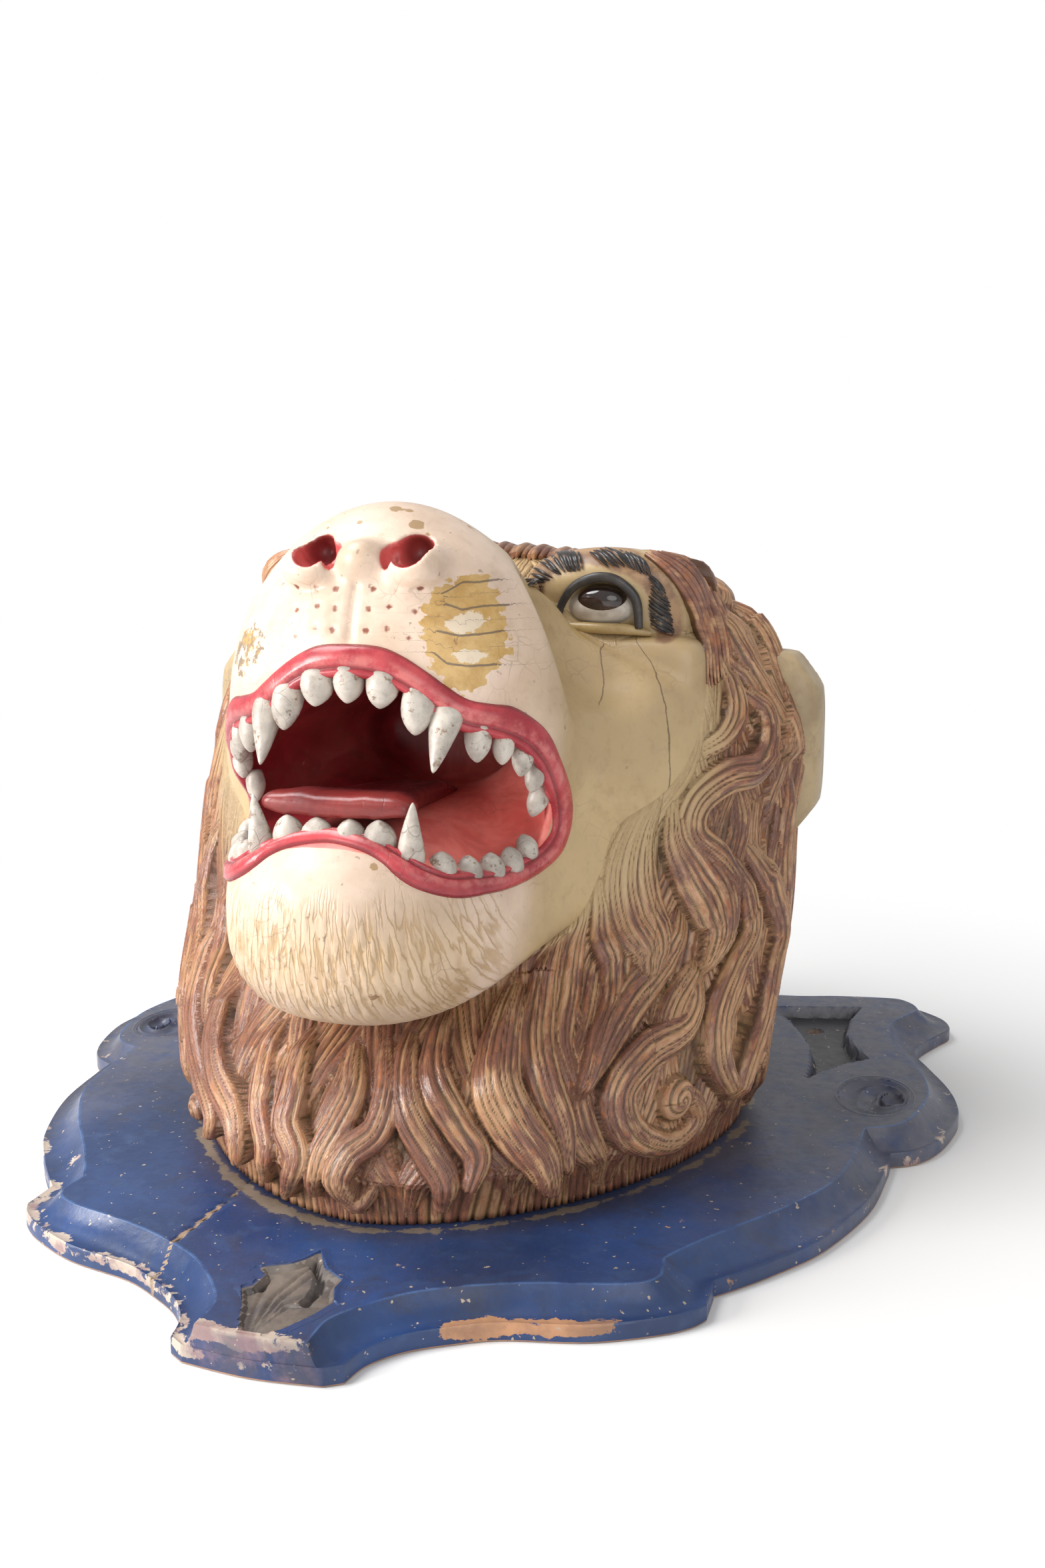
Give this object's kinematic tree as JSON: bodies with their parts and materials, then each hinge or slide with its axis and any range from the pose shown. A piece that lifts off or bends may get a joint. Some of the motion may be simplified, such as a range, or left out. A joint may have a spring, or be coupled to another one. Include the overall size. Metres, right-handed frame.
{
  "type": "lion wall mask",
  "caption": "Carved and painted wooden lion's head with open jaws and a waved mane, on a scrolled blue backboard that lies flat or hangs on a wall.",
  "frame": {"origin": "on the flat back of the board, on the middle line, near the middle of its height", "axes": "+Z out of the wall, +Y to the top of the board, +X to the lion's left; it lies on its back"},
  "size_m": [0.5748, 0.57, 0.3701],
  "materials": {
    "blue_painted_wood": "satin oil paint, worn at the edges",
    "painted_carved_wood": "painted and varnished carving, cream face and ochre mane",
    "red_painted_wood": "glossy crimson paint",
    "tooth_white": "off-white paint with dirt"
  },
  "bodies": {
    "root": {"backboard": "blue_painted_wood", "lion_head": "painted_carved_wood", "tongue": "red_painted_wood", "upper_incisor_middle": "tooth_white", "upper_incisor_inner_left": "tooth_white", "upper_incisor_inner_right": "tooth_white", "upper_incisor_outer_left": "tooth_white", "upper_incisor_outer_right": "tooth_white", "upper_canine_left": "tooth_white", "upper_canine_right": "tooth_white", "upper_premolar_1_left": "tooth_white", "upper_premolar_1_right": "tooth_white", "upper_premolar_2_left": "tooth_white", "upper_premolar_2_right": "tooth_white", "upper_premolar_3_left": "tooth_white", "upper_premolar_3_right": "tooth_white", "upper_molar_1_left": "tooth_white", "upper_molar_1_right": "tooth_white", "upper_molar_2_left": "tooth_white", "upper_molar_2_right": "tooth_white", "lower_incisor_inner_left": "tooth_white", "lower_incisor_inner_right": "tooth_white", "lower_incisor_outer_left": "tooth_white", "lower_incisor_outer_right": "tooth_white", "lower_canine_left": "tooth_white", "lower_canine_right": "tooth_white", "lower_premolar_1_left": "tooth_white", "lower_premolar_1_right": "tooth_white", "lower_premolar_2_left": "tooth_white", "lower_premolar_2_right": "tooth_white", "lower_premolar_3_left": "tooth_white", "lower_premolar_3_right": "tooth_white", "lower_molar_1_left": "tooth_white", "lower_molar_1_right": "tooth_white", "lower_molar_2_left": "tooth_white", "lower_molar_2_right": "tooth_white"}
  },
  "joints": []
}
